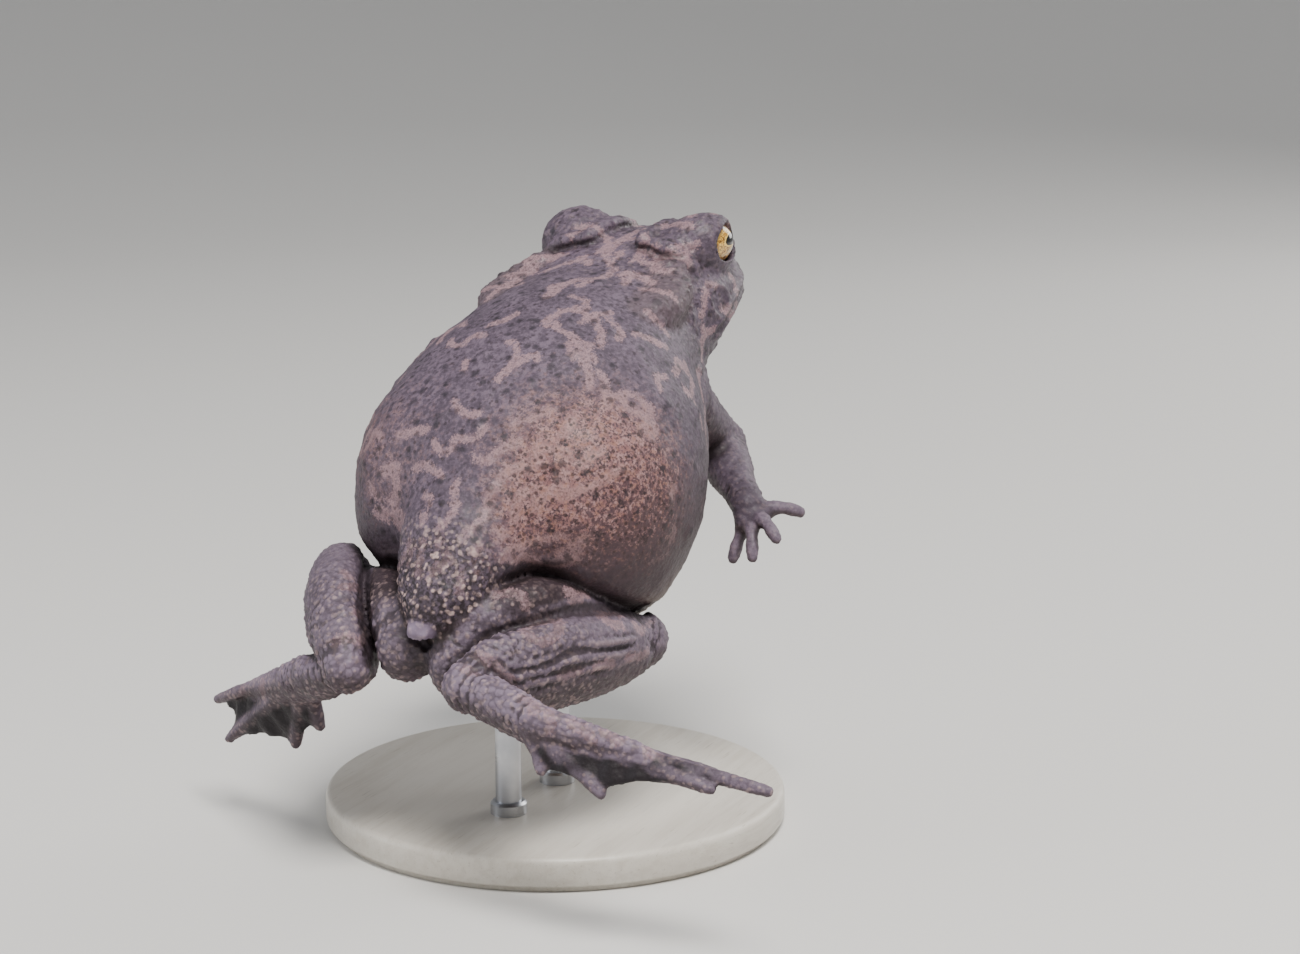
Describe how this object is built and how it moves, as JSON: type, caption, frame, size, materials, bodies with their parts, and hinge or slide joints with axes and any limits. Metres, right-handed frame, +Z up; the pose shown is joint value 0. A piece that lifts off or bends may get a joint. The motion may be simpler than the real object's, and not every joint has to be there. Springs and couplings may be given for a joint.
{
  "type": "american toad",
  "caption": "Still, life-size model of a large swimming toad, flanks swollen with air and hind legs folded, held on a plain round display stand by slim rods.",
  "frame": {"origin": "centre of the stand base's flat underside", "axes": "+Z up; the toad faces -Y with its nose raised, and its right side is at -X"},
  "size_m": [0.1194, 0.1056, 0.1038],
  "materials": {
    "toad_skin": "moist, finely granular skin, slate grey with pinkish tan wavy marks and small black dots",
    "eye": "wet gloss, gold iris flecked with black round a dark pupil",
    "stand_base": "smooth satin paint, pale warm grey",
    "stand_rod": "brushed"
  },
  "bodies": {
    "root": {"torso": "toad_skin", "head": "toad_skin", "thigh_right": "toad_skin", "shank_right": "toad_skin", "tarsus_right": "toad_skin", "foot_right": "toad_skin", "thigh_left": "toad_skin", "shank_left": "toad_skin", "tarsus_left": "toad_skin", "foot_left": "toad_skin", "upper_arm_right": "toad_skin", "forearm_right": "toad_skin", "hand_right": "toad_skin", "upper_arm_left": "toad_skin", "forearm_left": "toad_skin", "hand_left": "toad_skin", "eye_right": "eye", "eye_left": "eye", "stand_base": "stand_base", "stand_rod_front": "stand_rod", "stand_rod_rear": "stand_rod"}
  },
  "joints": []
}
